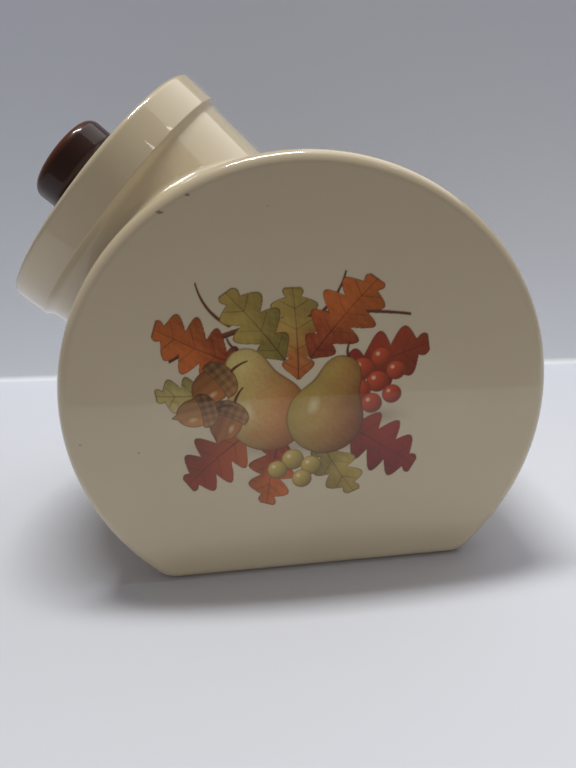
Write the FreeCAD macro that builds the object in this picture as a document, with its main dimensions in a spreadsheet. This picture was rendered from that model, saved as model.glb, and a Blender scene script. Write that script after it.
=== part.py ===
import FreeCAD, Part
import math
import os
import re

import Sketcher
from FreeCAD import Vector

# Biscuit jar: a round flat-faced drum on a flat foot, a slanted neck with a stepped collar,
# and an inset lid with a button knob.
# Frame: the origin is the middle of the foot, below the drum's axis. +X is to the right,
# +Y is away from the front face, +Z is up. The drum's axis runs along Y.
# Stations are measured along the neck's axis from the drum's axis outwards.

SIZES = [
    ("drum_radius", 120.0, "outer radius of the drum"),
    ("drum_depth", 170.0, "front face to back face"),
    ("axis_height", 90.0, "drum's axis above the foot's plane"),
    ("wall", 5.5, "thickness of the drum's faces and band"),
    ("floor_wall", 6.5, "thickness above the foot's plane"),
    ("edge_round", 6.0, "outer rounding where a face meets the band"),
    ("inner_ease", 2.5, "eased inner corner where a face meets the band"),
    ("foot_corner", 14.0, "rounding where the band meets the foot"),
    ("foot_rim", 8.0, "width of the dry rim that the jar stands on"),
    ("foot_recess", 1.2, "height of the hollow inside that rim"),
    ("foot_recess_corner", 8.0, "corner radius of that hollow"),
    ("neck_tilt", 44.0, "neck's axis above the horizontal, degrees"),
    ("neck_offset", 9.0, "neck's axis above the drum's axis, square to the neck"),
    ("neck_inset", 13.0, "drum's face to the neck's side at the collar"),
    ("neck_draft", 2.0, "how much narrower the neck is at its root"),
    ("neck_root", 50.0, "how far the neck's outline runs into the drum"),
    ("neck_rise", 6.0, "drum's radius to the foot of the collar's step"),
    ("neck_cove", 3.0, "eased corner between neck and band"),
    ("throat_ease", 2.0, "eased edge where the bore meets the drum's inside"),
    ("collar_step", 2.5, "collar's radius over the neck's"),
    ("step_length", 5.4, "length of the sloped step up to the collar"),
    ("step_ease", 1.8, "length of the gentler slope at both ends of the step"),
    ("step_ease_rise", 0.45, "how far each gentler slope rises"),
    ("collar_height", 21.7, "foot of the step to the rim"),
    ("collar_wall", 5.0, "thickness of the collar round the lid"),
    ("rim_round", 2.6, "outer rounding of the rim"),
    ("lip_ease", 1.4, "eased inner edge of the rim"),
    ("seat_depth", 10.2, "rim down to the ledge that carries the lid"),
    ("ledge_width", 5.5, "width of that ledge"),
    ("ledge_ease", 1.0, "eased edge of the ledge at the bore"),
    ("lid_clearance", 0.6, "lid's edge to the collar, all round"),
    ("plug_clearance", 0.9, "locating ring to the neck's bore, all round"),
    ("lid_edge", 7.0, "thickness of the lid's edge"),
    ("lid_wall", 5.5, "thickness of the raised middle"),
    ("lid_rise", 2.5, "rise of the middle over the edge"),
    ("lid_shoulder", 9.0, "width of the slope between edge and middle"),
    ("lid_ease", 1.6, "eased upper edge of the lid"),
    ("lid_foot_ease", 1.0, "eased lower edge of the lid"),
    ("ring_depth", 12.0, "locating ring below the ledge"),
    ("ring_wall", 5.0, "thickness of the locating ring"),
    ("ring_ease", 1.2, "eased lower edge of the locating ring"),
    ("knob_radius", 25.0, "radius of the button"),
    ("button_height", 16.7, "thickness of the button"),
    ("button_round", 5.3, "upper rounding of the button"),
    ("button_under_ease", 2.5, "eased lower edge of the button"),
    ("stem_height", 10.3, "lid to the button's underside"),
    ("stem_radius", 13.0, "radius of the stem"),
    ("screw_radius", 2.5, "outer radius of the thread"),
    ("screw_length", 16.0, "shank below the head"),
    ("screw_point", 0.8, "chamfer at the screw's tip"),
    ("screw_clearance", 0.6, "screw to the hole in the lid"),
    ("head_radius", 4.8, "radius of the screw's head"),
    ("head_height", 3.6, "height of the screw's head"),
    ("head_ease", 1.2, "eased edge of the screw's head"),
    ("slot_width", 1.2, "width of the driver slot"),
    ("slot_depth", 1.5, "depth of the driver slot"),
    ("washer_radius", 8.0, "outer radius of the washer"),
    ("washer_thickness", 1.2, "thickness of the washer"),
    ("washer_clearance", 0.3, "screw to the washer's hole"),
    ("insert_radius", 4.5, "outer radius of the threaded insert"),
    ("insert_length", 11.0, "length of the threaded insert"),
    ("insert_gap", 1.0, "room above the insert in the knob"),
]
NAMES = {alias for alias, number, meaning in SIZES}

doc = FreeCAD.newDocument("BiscuitJar")
sheet = doc.addObject("Spreadsheet::Sheet", "dims")
for row, (alias, number, meaning) in enumerate(SIZES, start=1):
    sheet.set("A%d" % row, meaning)
    sheet.set("B%d" % row, str(number))
    sheet.setAlias("B%d" % row, alias)
doc.recompute()

# Sizes that follow from the ones above
NECK_TOP = "(drum_depth / 2 - neck_inset)"
NECK_FOOT = "(%s - neck_draft)" % NECK_TOP
COLLAR = "(%s + collar_step)" % NECK_TOP
RECESS = "(%s - collar_wall)" % COLLAR
BORE = "(%s - ledge_width)" % RECESS
LID = "(%s - lid_clearance)" % RECESS
RING = "(%s - plug_clearance)" % BORE
RING_IN = "(%s - ring_wall)" % RING
ROOT_AT = "(drum_radius - neck_root)"
STEP_AT = "(drum_radius + neck_rise)"
RIM_AT = "(%s + collar_height)" % STEP_AT
SEAT_AT = "(%s - seat_depth)" % RIM_AT
LANDING_AT = "(%s + lid_edge + lid_rise)" % SEAT_AT
HEAD_AT = "(%s - lid_wall - washer_thickness)" % LANDING_AT
LID_HOLE = "(screw_radius + screw_clearance)"

# A rounding made of three flats that touch its arc: a chamfer for the middle flat, then one
# on both edges that it leaves, each as a share of the rounding's radius
FIRST_FLAT = 2 - math.sqrt(2)
SECOND_FLAT = math.tan(math.pi / 8) - math.tan(math.pi / 16)


def bound(text):
    """The same formula with every size's name read from the sheet."""
    return re.sub("[a-z_]+", lambda w: "dims." + w.group() if w.group() in NAMES else w.group(), text)


def value(text):
    """The number that a formula of sizes gives now."""
    return float(sheet.evalExpression(text))


def settle(feature):
    """Recomputes the document and stops if the feature has failed."""
    doc.recompute()
    if "Invalid" in feature.State or "Error" in feature.State or feature.Shape.isNull():
        raise RuntimeError("failed: " + feature.Name)
    return feature


def new_body(label):
    body = doc.addObject("PartDesign::Body", label)
    body.Label = label
    return body


def sketch_on(body, name, role):
    """Empty sketch on one of the body's own origin planes."""
    sketch = body.newObject("Sketcher::SketchObject", name)
    plane = [f for f in body.Origin.OriginFeatures if f.Role == role][0]
    sketch.AttachmentSupport = (plane, "")
    sketch.MapMode = "FlatFace"
    return sketch


def hold(sketch, kind, geometry, point, text):
    """Fixes one point's distance from the origin to a formula of sizes."""
    now = value(text)
    if abs(now) < 1e-9:
        line = -2 if kind == "DistanceX" else -1
        sketch.addConstraint(Sketcher.Constraint("PointOnObject", geometry, point, line))
    elif now > 0:
        index = sketch.addConstraint(Sketcher.Constraint(kind, -1, 1, geometry, point, now))
        sketch.setExpression("Constraints[%d]" % index, bound(text))
    else:
        index = sketch.addConstraint(Sketcher.Constraint(kind, geometry, point, -1, 1, -now))
        sketch.setExpression("Constraints[%d]" % index, bound("-(%s)" % text))


def outline(sketch, corners):
    """Closed outline of straight sides through corners given as pairs of formulas."""
    points = [Vector(value(x), value(y), 0) for x, y in corners]
    for i, start in enumerate(points):
        sketch.addGeometry(Part.LineSegment(start, points[(i + 1) % len(points)]), False)
    for i, (x, y) in enumerate(corners):
        sketch.addConstraint(Sketcher.Constraint("Coincident", i, 2, (i + 1) % len(corners), 1))
        hold(sketch, "DistanceX", i, 1, x)
        hold(sketch, "DistanceY", i, 1, y)


def extrude(body, kind, name, sketch, length):
    """Pad or Pocket to both sides of the sketch's plane, as deep as the formula says."""
    feature = body.newObject(kind, name)
    feature.Profile = sketch
    feature.SideType = "Symmetric"
    feature.setExpression("Length", bound(length))
    return settle(feature)


def turn(body, kind, name, sketch):
    """Revolution or Groove of the sketch about its own vertical axis."""
    feature = body.newObject(kind, name)
    feature.Profile = sketch
    feature.ReferenceAxis = (sketch, ["V_Axis"])
    feature.Angle = 360
    return settle(feature)


def rounded(body, name, radius, chosen, kind="PartDesign::Fillet"):
    """Fillet or Chamfer on the edges of the body's tip that the test picks."""
    base = body.Tip
    edges = enumerate(base.Shape.Edges, start=1)
    picked = ["Edge%d" % n for n, edge in edges if not edge.Degenerated and chosen(edge)]
    if not picked:
        raise ValueError("no edge for " + name)
    feature = body.newObject(kind, name)
    feature.Base = (base, picked)
    feature.setExpression("Size" if kind.endswith("Chamfer") else "Radius", bound(radius))
    return settle(feature)


def ring(radius, station, base=Vector(0, 0, 0), axis=Vector(0, 0, 1)):
    """Test for a circular edge of this radius about the axis, at this station."""
    r, at = value(radius), value(station)

    def test(edge):
        if not isinstance(edge.Curve, Part.Circle):
            return False
        along = (edge.Curve.Center - base).dot(axis)
        off = (edge.Curve.Center - base - axis * along).Length
        return abs(edge.Curve.Radius - r) < 1e-3 and abs(along - at) < 1e-3 and off < 1e-3

    return test


def flats(body, name, radius, chosen, chosen_next):
    """Rounds edges in three flats; the second test picks the edges that the first chamfer leaves."""
    rounded(body, name, "%.6f * %s" % (FIRST_FLAT, radius), chosen, "PartDesign::Chamfer")
    rounded(body, name + "Flats", "%.6f * %s" % (SECOND_FLAT, radius), chosen_next, "PartDesign::Chamfer")


def any_of(*tests):
    return lambda edge: any(test(edge) for test in tests)


def place_on_neck(body, station):
    """Stands a piece modelled along +Z on the neck's axis, at the station that a formula gives."""
    body.Placement.Rotation = FreeCAD.Rotation(Vector(0, -1, 0), value("90 - neck_tilt"))
    body.setExpression("Placement.Rotation.Angle", bound("90 - neck_tilt"))
    x = "neck_offset * sin(neck_tilt) - %s * cos(neck_tilt)" % station
    z = "axis_height + neck_offset * cos(neck_tilt) + %s * sin(neck_tilt)" % station
    body.setExpression("Placement.Base.x", bound(x))
    body.setExpression("Placement.Base.z", bound(z))


# Neck's axis in the jar's frame
tilt = math.radians(value("neck_tilt"))
neck_axis = Vector(-math.cos(tilt), 0, math.sin(tilt))
neck_base = Vector(math.sin(tilt), 0, math.cos(tilt)) * value("neck_offset")
neck_base += Vector(0, 0, value("axis_height"))


def on_neck(radius, station):
    return ring(radius, station, neck_base, neck_axis)


def tilt_sketch(sketch):
    """Turns a sketch in the jar's middle plane so that its vertical axis is the neck's axis."""
    turned = FreeCAD.Rotation(Vector(0, 0, 1), value("90 - neck_tilt"))
    sketch.AttachmentOffset = FreeCAD.Placement(Vector(0, 0, 0), turned)
    sketch.setExpression("AttachmentOffset.Rotation.Angle", bound("90 - neck_tilt"))
    sketch.setExpression("AttachmentOffset.Base.x", bound("neck_offset * sin(neck_tilt)"))
    sketch.setExpression("AttachmentOffset.Base.y", bound("axis_height + neck_offset * cos(neck_tilt)"))


def outline_edge(half_depth, inner_radius):
    """Test for the edges that bound a flat face of the drum, outside or inside."""
    y = value(half_depth)
    reach = value(inner_radius)

    def test(edge):
        box = edge.BoundBox
        inside = max(-box.XMin, box.XMax) < reach + 0.01
        return inside and box.YLength < 1e-6 and abs(abs(box.YMin) - y) < 1e-4

    return test


def long_edge_at(height):
    """Test for the straight edges along Y at this height."""
    at = value(height)

    def test(edge):
        box = edge.BoundBox
        return box.YLength > 1 and box.ZLength < 1e-6 and abs(box.ZMin - at) < 1e-4

    return test


def upright_at(x, y):
    """Test for the short upright edges at these distances from the middle."""
    half_x, half_y = value(x), value(y)

    def test(edge):
        box = edge.BoundBox
        if box.XLength > 1e-6 or box.YLength > 1e-6:
            return False
        return abs(abs(box.XMin) - half_x) < 1e-3 and abs(abs(box.YMin) - half_y) < 1e-3

    return test


def drum_outline(sketch, radius, floor):
    """A circle about the drum's axis cut off flat at the floor's height."""
    drop = value("axis_height - %s" % floor)
    half = math.sqrt(value(radius) ** 2 - drop ** 2)
    start = -math.atan2(drop, half)
    circle = Part.Circle(Vector(0, value("axis_height"), 0), Vector(0, 0, 1), value(radius))
    left = Vector(-half, value(floor), 0)
    right = Vector(half, value(floor), 0)
    sketch.addGeometry(Part.ArcOfCircle(circle, start, math.pi - start), False)
    sketch.addGeometry(Part.LineSegment(left, right), False)
    sketch.addConstraint(Sketcher.Constraint("Coincident", 0, 2, 1, 1))
    sketch.addConstraint(Sketcher.Constraint("Coincident", 1, 2, 0, 1))
    sketch.addConstraint(Sketcher.Constraint("Horizontal", 1))
    hold(sketch, "DistanceX", 0, 3, "0")
    hold(sketch, "DistanceY", 0, 3, "axis_height")
    hold(sketch, "DistanceY", 1, 1, floor)
    index = sketch.addConstraint(Sketcher.Constraint("Radius", 0, value(radius)))
    sketch.setExpression("Constraints[%d]" % index, bound(radius))


def on_band(edge):
    """Test for the curve where the neck meets the drum's band."""
    reach = value(NECK_TOP) + 1
    for p in edge.discretize(7):
        if abs(math.hypot(p.x, p.z - value("axis_height")) - value("drum_radius")) > 0.02:
            return False
        if abs(p.y) > reach or p.z < value("axis_height") / 2:
            return False
    return True


def in_throat(edge):
    """Test for the curve where the neck's bore meets the drum's inside."""
    for p in edge.discretize(7):
        if abs(math.hypot(p.x, p.z - value("axis_height")) - value("drum_radius - wall")) > 0.02:
            return False
        if abs(p.y) > value(BORE) + 0.5:
            return False
    return edge.Length > 1


# Jar body: drum, neck and collar in one casting
jar = new_body("jar_body")
drum = sketch_on(jar, "DrumOutline", "XZ_Plane")
drum_outline(drum, "drum_radius", "0")
extrude(jar, "PartDesign::Pad", "Drum", drum, "drum_depth")
rounded(jar, "FootCorners", "foot_corner", long_edge_at("0"))
bead_cut = "%.6f * edge_round" % FIRST_FLAT
flats(jar, "FaceBeads", "edge_round", outline_edge("drum_depth / 2", "drum_radius"), any_of(
    outline_edge("drum_depth / 2", "drum_radius"),
    outline_edge("drum_depth / 2 - %s" % bead_cut, "drum_radius")))

neck = sketch_on(jar, "NeckOutline", "XZ_Plane")
tilt_sketch(neck)
outline(neck, [
    ("0", ROOT_AT),
    (NECK_FOOT, ROOT_AT),
    (NECK_TOP, STEP_AT),
    ("(%s + step_ease_rise)" % NECK_TOP, "(%s + step_ease)" % STEP_AT),
    ("(%s - step_ease_rise)" % COLLAR, "(%s + step_length - step_ease)" % STEP_AT),
    (COLLAR, "(%s + step_length)" % STEP_AT),
    (COLLAR, RIM_AT),
    ("0", RIM_AT),
])
turn(jar, "PartDesign::Revolution", "Neck", neck)
rounded(jar, "NeckCove", "neck_cove", on_band, "PartDesign::Chamfer")

# Hollow of the drum
cavity = sketch_on(jar, "CavityOutline", "XZ_Plane")
drum_outline(cavity, "drum_radius - wall", "floor_wall")
extrude(jar, "PartDesign::Pocket", "Cavity", cavity, "drum_depth - 2 * wall")
rounded(jar, "CavityCorners", "foot_corner - wall", long_edge_at("floor_wall"))
inner_edge = outline_edge("drum_depth / 2 - wall", "drum_radius - wall")
rounded(jar, "CavityEdges", "inner_ease", inner_edge, "PartDesign::Chamfer")

# Bore of the neck and the lid's recess in the collar
bore = sketch_on(jar, "BoreOutline", "XZ_Plane")
tilt_sketch(bore)
outline(bore, [
    ("0", ROOT_AT),
    (BORE, ROOT_AT),
    (BORE, SEAT_AT),
    (RECESS, SEAT_AT),
    (RECESS, RIM_AT),
    ("0", RIM_AT),
])
turn(jar, "PartDesign::Groove", "Bore", bore)
rounded(jar, "Throat", "throat_ease", in_throat, "PartDesign::Chamfer")
rounded(jar, "Ledge", "ledge_ease", on_neck(BORE, SEAT_AT), "PartDesign::Chamfer")
rounded(jar, "Lip", "lip_ease", on_neck(RECESS, RIM_AT), "PartDesign::Chamfer")
rim_cut = "%.6f * rim_round" % FIRST_FLAT
flats(jar, "Rim", "rim_round", on_neck(COLLAR, RIM_AT), any_of(
    on_neck(COLLAR, "%s - %s" % (RIM_AT, rim_cut)),
    on_neck("%s - %s" % (COLLAR, rim_cut), RIM_AT)))

# Shallow hollow under the foot, inside the rim that the jar stands on
recess = sketch_on(jar, "FootRecess", "XY_Plane")
foot_half = "sqrt((drum_radius - foot_corner)^2 - (axis_height - foot_corner)^2) - foot_rim"
foot_deep = "drum_depth / 2 - edge_round - foot_rim"
outline(recess, [
    ("-(%s)" % foot_half, "-(%s)" % foot_deep),
    (foot_half, "-(%s)" % foot_deep),
    (foot_half, foot_deep),
    ("-(%s)" % foot_half, foot_deep),
])
foot = jar.newObject("PartDesign::Pocket", "FootHollow")
foot.Profile = recess
foot.Reversed = True
foot.setExpression("Length", bound("foot_recess"))
settle(foot)
rounded(jar, "FootHollowCorners", "foot_recess_corner", upright_at(foot_half, foot_deep))

# Lid: disc with a raised middle on the ledge, and a locating ring that hangs in the bore
lid = new_body("lid")
disc = sketch_on(lid, "LidOutline", "XZ_Plane")
outline(disc, [
    (LID_HOLE, "lid_edge + lid_rise - lid_wall"),
    (RING_IN, "lid_edge + lid_rise - lid_wall"),
    (RING_IN, "-ring_depth"),
    (RING, "-ring_depth"),
    (RING, "0"),
    (LID, "0"),
    (LID, "lid_edge"),
    ("(%s - lid_shoulder)" % LID, "lid_edge + lid_rise"),
    (LID_HOLE, "lid_edge + lid_rise"),
])
turn(lid, "PartDesign::Revolution", "Disc", disc)
rounded(lid, "UpperEdge", "lid_ease", ring(LID, "lid_edge"), "PartDesign::Chamfer")
rounded(lid, "LowerEdge", "lid_foot_ease", ring(LID, "0"), "PartDesign::Chamfer")
rounded(lid, "RingEdge", "ring_ease", ring(RING, "-ring_depth"), "PartDesign::Chamfer")
place_on_neck(lid, SEAT_AT)

# Knob: button on a short stem, with a blind hole for the insert
knob = new_body("lid_knob")
button = sketch_on(knob, "KnobOutline", "XZ_Plane")
button_top = "(stem_height + button_height)"
outline(button, [
    ("0", "0"),
    ("stem_radius", "0"),
    ("stem_radius", "stem_height"),
    ("knob_radius", "stem_height"),
    ("knob_radius", button_top),
    ("0", button_top),
])
turn(knob, "PartDesign::Revolution", "Button", button)
button_cut = "%.6f * button_round" % FIRST_FLAT
flats(knob, "ButtonTop", "button_round", ring("knob_radius", button_top), any_of(
    ring("knob_radius", "%s - %s" % (button_top, button_cut)),
    ring("knob_radius - %s" % button_cut, button_top)))
rounded(knob, "ButtonUnder", "button_under_ease", ring("knob_radius", "stem_height"), "PartDesign::Chamfer")
socket = sketch_on(knob, "InsertHole", "XZ_Plane")
outline(socket, [
    ("0", "0"),
    ("insert_radius", "0"),
    ("insert_radius", "insert_length + insert_gap"),
    ("0", "insert_length + insert_gap"),
])
turn(knob, "PartDesign::Groove", "Socket", socket)
place_on_neck(knob, LANDING_AT)

# Threaded insert, cemented in the knob
insert = new_body("knob_insert")
tube = sketch_on(insert, "InsertOutline", "XZ_Plane")
outline(tube, [
    ("screw_radius", "0"),
    ("insert_radius", "0"),
    ("insert_radius", "insert_length"),
    ("screw_radius", "insert_length"),
])
turn(insert, "PartDesign::Revolution", "Insert", tube)
place_on_neck(insert, LANDING_AT)

# Washer between the lid's underside and the screw's head
washer = new_body("knob_washer")
plate = sketch_on(washer, "WasherOutline", "XZ_Plane")
outline(plate, [
    ("screw_radius + washer_clearance", "0"),
    ("washer_radius", "0"),
    ("washer_radius", "washer_thickness"),
    ("screw_radius + washer_clearance", "washer_thickness"),
])
turn(washer, "PartDesign::Revolution", "Washer", plate)
place_on_neck(washer, HEAD_AT)

# Screw from inside the lid into the insert
screw = new_body("knob_screw")
shank = sketch_on(screw, "ScrewOutline", "XZ_Plane")
outline(shank, [
    ("0", "-head_height"),
    ("head_radius", "-head_height"),
    ("head_radius", "0"),
    ("screw_radius", "0"),
    ("screw_radius", "screw_length"),
    ("0", "screw_length"),
])
turn(screw, "PartDesign::Revolution", "Shank", shank)
rounded(screw, "HeadEdge", "head_ease", ring("head_radius", "-head_height"), "PartDesign::Chamfer")
rounded(screw, "Point", "screw_point", ring("screw_radius", "screw_length"), "PartDesign::Chamfer")
slot = sketch_on(screw, "DriverSlot", "XZ_Plane")
outline(slot, [
    ("-slot_width / 2", "-head_height"),
    ("slot_width / 2", "-head_height"),
    ("slot_width / 2", "slot_depth - head_height"),
    ("-slot_width / 2", "slot_depth - head_height"),
])
extrude(screw, "PartDesign::Pocket", "Slot", slot, "2 * head_radius")
place_on_neck(screw, HEAD_AT)

doc.recompute()

for thing in doc.Objects:
    if "Invalid" in thing.State or "Error" in thing.State:
        raise RuntimeError("failed: " + thing.Name)

os.makedirs("parts", exist_ok=True)
for body in [jar, lid, knob, insert, washer, screw]:
    shape = body.Shape
    if shape.isNull() or not shape.isValid() or len(shape.Solids) != 1:
        raise RuntimeError("bad shape: " + body.Label)
    shape.exportStep(os.path.join("parts", body.Label + ".step"))
    print("%-12s volume %.0f mm3" % (body.Label, shape.Volume))
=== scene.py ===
"""Biscuit jar with a slanted neck: glazed drum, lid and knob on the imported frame, with a printed
autumn spray on the front face."""
import math

import bpy
import numpy as np
from bpy.props import FloatProperty, FloatVectorProperty, PointerProperty
from mathutils import Matrix, Vector


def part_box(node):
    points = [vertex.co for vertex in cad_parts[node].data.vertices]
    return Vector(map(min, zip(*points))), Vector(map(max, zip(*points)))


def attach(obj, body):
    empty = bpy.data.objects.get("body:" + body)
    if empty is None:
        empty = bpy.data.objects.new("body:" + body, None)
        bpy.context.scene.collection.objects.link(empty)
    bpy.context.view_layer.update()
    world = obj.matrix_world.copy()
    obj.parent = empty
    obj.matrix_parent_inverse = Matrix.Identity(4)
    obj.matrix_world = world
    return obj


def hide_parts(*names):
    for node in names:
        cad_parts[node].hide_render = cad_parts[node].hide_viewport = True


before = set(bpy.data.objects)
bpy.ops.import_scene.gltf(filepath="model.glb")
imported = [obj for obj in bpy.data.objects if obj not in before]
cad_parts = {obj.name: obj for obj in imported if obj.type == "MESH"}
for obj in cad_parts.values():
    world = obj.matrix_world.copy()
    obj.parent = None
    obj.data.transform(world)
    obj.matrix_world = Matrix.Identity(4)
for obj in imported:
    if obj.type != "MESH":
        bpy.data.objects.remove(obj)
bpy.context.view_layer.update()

bl_info = {
    "name": "Biscuit Jar",
    "version": (1, 0, 0),
    "blender": (4, 5, 0),
    "location": "View3D > Sidebar > Jar",
    "description": "Glazed biscuit jar with a slanted neck, its lid, knob, print and stage",
    "category": "Object",
}

FULL_TURN = 2 * math.pi

# Angles about the drum's axis of the hole for the neck, and the drum's columns before, along, after it
HOLE = (math.radians(87), math.radians(174))
BEFORE, ALONG, AFTER = 100, 72, 42
CORNER_COLUMNS, FOOT_COLUMNS = 9, 61
# Rows of the drum's faces, as shares of their radius, and of its other parts
FACE_ROWS = np.array([0.12, 0.3, 0.5, 0.7, 0.85, 0.95, 0.985, 0.996])
BEAD_ROWS, BAND_ROWS, CREASE_ROWS, THROAT_ROWS, SLEEVE_ROWS = 11, 50, 11, 9, 9
LID_SIDES, KNOB_SIDES, KNOB_STEPS = 240, 180, 12
# Distances in metres from a rounding to the row beside it that keeps a flat flat
GUARD, BAND_GUARD = 0.00035, 0.0004
TINY = 1e-6


# Settings; register gives each the name that its own words spell
def length(description, default):
    return FloatProperty(description=description, default=default, precision=5,
                         unit="LENGTH", subtype="DISTANCE")


def number(description, default):
    return FloatProperty(description=description, default=default, precision=4)


def colour(description, default):
    return FloatVectorProperty(description=description, default=default, size=3, subtype="COLOR",
                               min=0.0, max=1.0)


class JarSizes(bpy.types.PropertyGroup):
    drum_radius: length("Outer radius of the drum", 0.120)
    half_depth: length("Middle of the drum to a flat face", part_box("jar_body")[1].y)
    axis_height: length("Drum's axis above the foot", 0.090)
    wall: length("Thickness of the drum's wall", 0.0055)
    floor: length("Thickness above the foot", 0.0065)
    bead: length("Rounding where a face meets the band", 0.006)
    inner_bead: length("Rounding inside the drum's edges", 0.0042)
    foot_corner: length("Rounding where the band meets the foot", 0.014)
    foot_rim: length("Width of the dry rim under the jar", 0.008)
    foot_recess: length("Height of the hollow under the jar", 0.0012)
    foot_slope: length("Width of that hollow's edge", 0.0025)
    neck_offset: length("Neck's axis above the drum's axis", 0.009)
    neck_radius: length("Neck under the collar's step", 0.072)
    neck_draft: number("Taper of the neck towards its root", 2.0 / 56.0)
    neck_tilt: FloatProperty(description="Neck's axis above the horizontal",
                             default=math.radians(44), unit="ROTATION", subtype="ANGLE")
    crease: length("Fillet between neck and band", 0.0045)
    throat: length("Rounding where the bore meets the drum's inside", 0.0025)
    step_at: length("Station where the collar's step starts", 0.1268)
    step_length: length("Length of that step along the neck", 0.0030)
    step_hollow: length("Hollow fillet where the step leaves the neck", 0.0040)
    step_lead: length("Straight neck before the step", 0.0022)
    lead_taper: length("Taper of the neck over that length", 0.00008)
    step_arris: length("Rounding of the collar's lower edge", 0.0011)
    collar_radius: length("Outside of the collar", 0.0745)
    recess_radius: length("Inside of the collar round the lid", 0.0695)
    bore_radius: length("Bore of the neck", 0.064)
    rim_at: length("Station of the rim", 0.1477)
    seat_at: length("Station of the ledge that carries the lid", 0.1375)
    rim_round: length("Outer rounding of the rim", 0.0026)
    lip_round: length("Inner rounding of the rim", 0.0020)
    seat_round: length("Hollow corner behind the ledge", 0.0008)
    ledge_round: length("Rounding of the ledge's edge", 0.0012)
    bore_lead: length("Straight bore below the ledge", 0.006)


class LidSizes(bpy.types.PropertyGroup):
    radius: length("Edge of the lid", 0.0689)
    edge: length("Thickness of the lid's edge", 0.007)
    rise: length("Middle of the lid above its edge", 0.0025)
    shoulder: length("Width of the slope up to the middle", 0.009)
    wall: length("Thickness of the middle", 0.0055)
    ring_radius: length("Outside of the locating ring", 0.0631)
    ring_inside: length("Inside of the locating ring", 0.0581)
    ring_depth: length("Locating ring below the ledge", 0.012)
    hole: length("Radius of the screw's hole", 0.0031)
    upper_round: length("Upper rounding of the edge", 0.0022)
    lower_round: length("Lower rounding of the edge", 0.0012)
    slope_round: length("Rounding where the slope meets the middle", 0.03)
    ring_round: length("Roundings at the ring's foot", 0.0016)
    root_round: length("Hollow corner outside the ring", 0.0008)
    under_round: length("Hollow corner inside the ring", 0.002)
    hole_round: length("Rounding of the hole's edges", 0.0003)


class KnobSizes(bpy.types.PropertyGroup):
    radius: length("Outside of the button", 0.025)
    button: length("Thickness of the button", 0.0167)
    stem: length("Height of the stem", 0.0103)
    stem_radius: length("Radius of the stem", 0.013)
    upper_round: length("Upper rounding of the button", 0.0053)
    under_round: length("Lower rounding of the button", 0.0036)
    cove: length("Fillet between stem and button", 0.0035)
    socket: length("Radius of the hole for the insert", 0.0045)
    socket_depth: length("Depth of that hole", 0.012)
    socket_round: length("Rounding in that hole", 0.0004)
    foot_round: length("Rounding of the stem's foot", 0.0008)


class PrintSizes(bpy.types.PropertyGroup):
    centre_x: length("Print's centre across the face", -0.006)
    centre_z: length("Print's centre above the foot", 0.100)
    width: length("Width of the print", 0.134)
    height: length("Height of the print", 0.120)
    cell: length("Spacing of the print's grid", 0.00036)
    stand_off: length("Print in front of the glaze", 0.00006)


class Finish(bpy.types.PropertyGroup):
    cream: colour("Cream glaze", (0.66, 0.57, 0.41))
    cream_warm: colour("Cream glaze where it lies thin", (0.62, 0.525, 0.36))
    clay: colour("Unglazed clay", (0.60, 0.50, 0.38))
    clay_dark: colour("Darker patches of the clay", (0.50, 0.40, 0.29))
    speck: colour("Brown specks in the glaze", (0.30, 0.21, 0.12))
    chip: colour("Dark chips and pits in the glaze", (0.06, 0.045, 0.032))
    brown: colour("Dark brown glaze of the knob", (0.030, 0.011, 0.008))
    amber: colour("Brown glaze where it runs thin on an edge", (0.11, 0.032, 0.012))
    brass: colour("Threaded insert", (0.78, 0.60, 0.30))
    rubber: colour("Washer", (0.05, 0.05, 0.05))
    zinc: colour("Screw", (0.62, 0.63, 0.64))


class StageSettings(bpy.types.PropertyGroup):
    wall_y: length("Backdrop behind the jar", 0.256)
    wall_slant: number("Backdrop's approach towards the right", 0.139)
    wall_height: length("Height of the backdrop", 0.40)
    front_y: length("Front edge of the table", -0.345)
    front_slant: number("Front edge's retreat towards the right", 0.085)
    cove: length("Radius of the backdrop's cove", 0.006)
    floor: colour("Colour of the floor", (0.69, 0.715, 0.79))
    # The backdrop's colour runs from the pale colour near the floor to a darker colour at the top: painted
    # shade where less light reaches the wall's top.
    wall_low: colour("Backdrop near the floor", (0.90, 0.945, 1.0))
    wall_high: colour("Backdrop at the top", (0.695, 0.75, 0.88))
    strip: number("Power of the strip light above the jar", 21.0)
    ceiling: number("Power of the wide soft light", 10.0)
    lamps: number("Power of each small ceiling lamp", 0.2)
    bounce: number("Power of the low light from the table's front", 0.045)
    ambient: number("Strength of the world", 0.19)
    room: colour("Colour of the world", (1.0, 0.885, 0.815))
    lens: number("Focal length in millimetres", 27.05)


# ---- meshes

def ease(t):
    """Smooth step: 3 t^2 - 2 t^3, held to 0 and 1 outside."""
    t = np.clip(t, 0, 1)
    return t * t * (3 - 2 * t)


def grid(rows, columns, turn=True):
    """Quads of a grid of rows by columns, closed round the columns where turn is set."""
    i, j = np.meshgrid(np.arange(rows - 1), np.arange(columns if turn else columns - 1), indexing="ij")
    after = (j + 1) % columns
    quads = [i * columns + j, i * columns + after, (i + 1) * columns + after, (i + 1) * columns + j]
    return np.stack(quads, -1).reshape(-1, 4)


def fan(pole, ring):
    """Triangles from one point to a closed ring of points."""
    return np.stack([np.full(len(ring), pole), ring, np.roll(ring, -1)], -1)


def outward(points, faces, away):
    """The faces turned so that they look along the direction that away gives for their middles."""
    corners = points[faces[:, :3]]
    normal = np.cross(corners[:, 1] - corners[:, 0], corners[:, 2] - corners[:, 0])
    facing = np.einsum("ij,ij->i", normal, away(points[faces].mean(1)))
    return faces if facing.sum() > 0 else faces[:, ::-1]


def towards(*direction):
    """One direction all over, for outward."""
    return lambda middles: np.broadcast_to(direction, middles.shape)


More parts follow.
